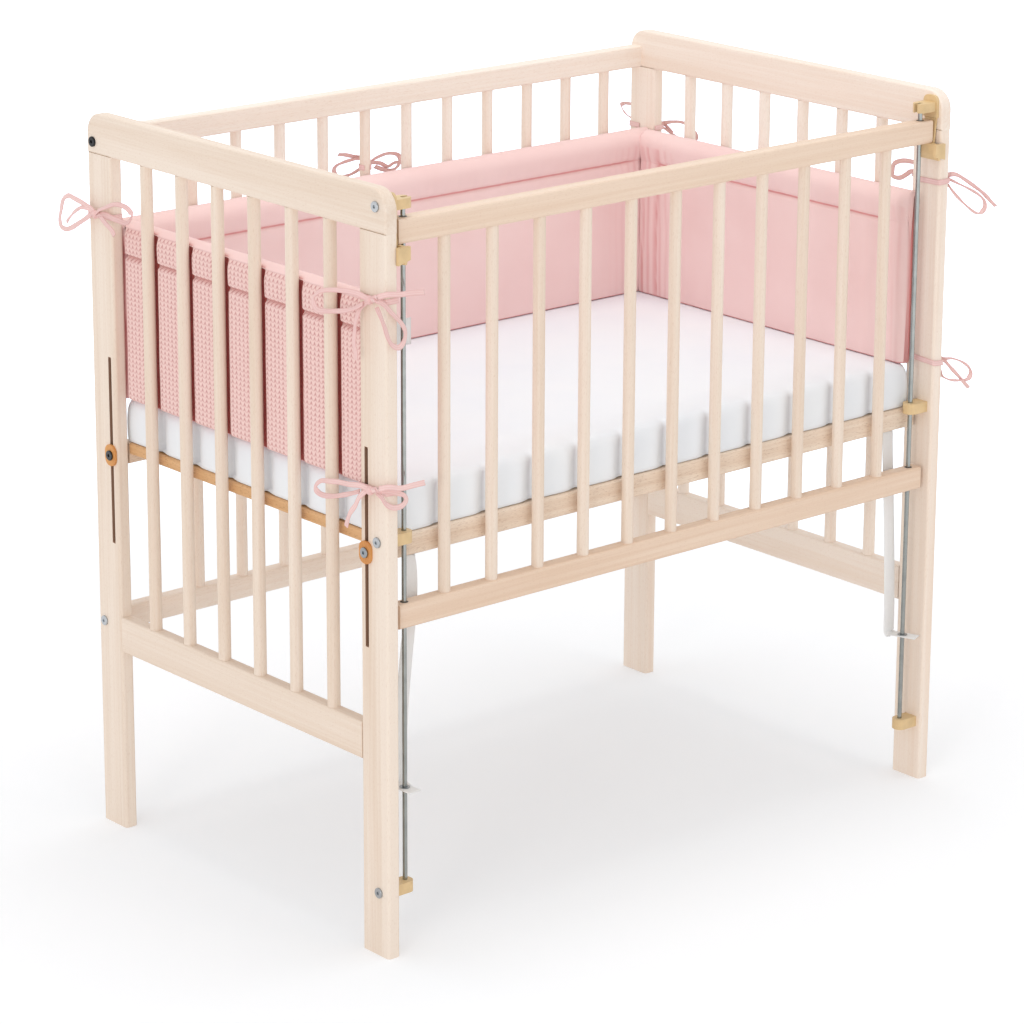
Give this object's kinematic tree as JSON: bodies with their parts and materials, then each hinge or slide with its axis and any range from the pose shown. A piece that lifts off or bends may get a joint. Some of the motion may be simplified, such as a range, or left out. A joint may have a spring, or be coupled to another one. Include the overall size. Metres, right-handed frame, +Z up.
{
  "type": "bedside sleeper crib",
  "caption": "Small beech cot with slatted sides, a front gate that drops on steel rods, a height-adjustable slatted base, a mattress, a tied-on padded bumper and webbing straps.",
  "frame": {"origin": "on the floor, in the middle of the crib between its four posts", "axes": "+Z up, X along the length, -Y towards the drop gate, +Y towards the fixed back"},
  "size_m": [0.9864, 0.6677, 0.947],
  "materials": {
    "frame_wood": "satin",
    "base_wood": "satin",
    "steel": "satin",
    "fitting_plastic": "matte",
    "bushing_plastic": "matte",
    "mattress_cloth": "matte",
    "bumper_cloth": "matte",
    "tape_cloth": "satin",
    "webbing": "matte",
    "label_cloth": "matte"
  },
  "bodies": {
    "frame": {"post_front_left": "frame_wood", "post_front_right": "frame_wood", "post_back_left": "frame_wood", "post_back_right": "frame_wood", "end_top_rail_left": "frame_wood", "end_top_rail_right": "frame_wood", "end_bottom_rail_left": "frame_wood", "end_bottom_rail_right": "frame_wood", "end_spindles_left": "frame_wood", "end_spindles_right": "frame_wood", "back_top_rail": "frame_wood", "back_bottom_rail": "frame_wood", "back_spindles": "frame_wood", "guide_rod_left": "steel", "guide_rod_right": "steel", "rod_holder_top_left": "fitting_plastic", "rod_holder_top_right": "fitting_plastic", "rod_bracket_middle_left": "fitting_plastic", "rod_bracket_middle_right": "fitting_plastic", "rod_bracket_bottom_left": "fitting_plastic", "rod_bracket_bottom_right": "fitting_plastic", "bracket_screws": "steel", "back_rail_bolts": "steel", "back_rail_nuts": "steel", "frame_dowels": "frame_wood"},
    "catch_left": {"catch_left": "fitting_plastic"},
    "catch_right": {"catch_right": "fitting_plastic"},
    "gate": {"gate_top_rail": "frame_wood", "gate_bottom_rail": "frame_wood", "gate_spindles": "frame_wood", "gate_bushings": "bushing_plastic"},
    "bed_base": {"base_front_beam": "base_wood", "base_back_beam": "base_wood", "base_end_beam_left": "base_wood", "base_end_beam_right": "base_wood", "base_slats": "base_wood", "slat_screws": "steel", "base_bolts": "steel", "base_washers": "base_wood", "base_nuts": "steel", "base_dowels": "base_wood", "mattress": "mattress_cloth", "bumper_left": "bumper_cloth", "bumper_back": "bumper_cloth", "bumper_right": "bumper_cloth", "tie_front_left_upper": "tape_cloth", "tie_front_left_lower": "tape_cloth", "tie_back_left": "tape_cloth", "tie_back_middle": "tape_cloth", "tie_back_right": "tape_cloth", "tie_front_right_upper": "tape_cloth", "tie_front_right_lower": "tape_cloth", "strap_left": "webbing", "strap_right": "webbing", "strap_eyelets": "steel", "strap_screws": "steel", "care_tag": "label_cloth"}
  },
  "joints": [
    {"name": "gate_drop", "type": "slide", "parent": "frame", "child": "gate", "axis": [0, 0, 1], "range_m": [-0.203, 0.008], "deforming": ["catch_left", "catch_right"]},
    {"name": "base_height", "type": "slide", "parent": "frame", "child": "bed_base", "axis": [0, 0, 1], "range_m": [-0.11, 0.055], "deforming": ["tie_front_left_upper", "tie_front_left_lower", "tie_back_left", "tie_back_middle", "tie_back_right", "tie_front_right_upper", "tie_front_right_lower"]},
    {"name": "catch_left_press", "type": "hinge", "parent": "frame", "child": "catch_left", "pos_m": [-0.4504, -0.28, 0.9098], "axis": [0, 1, 0], "range_deg": [0, 6], "stiffness_Nm_per_rad": 0.6},
    {"name": "catch_right_press", "type": "hinge", "parent": "frame", "child": "catch_right", "pos_m": [0.4504, -0.28, 0.9098], "axis": [0, -1, 0], "range_deg": [0, 6], "stiffness_Nm_per_rad": 0.6}
  ]
}
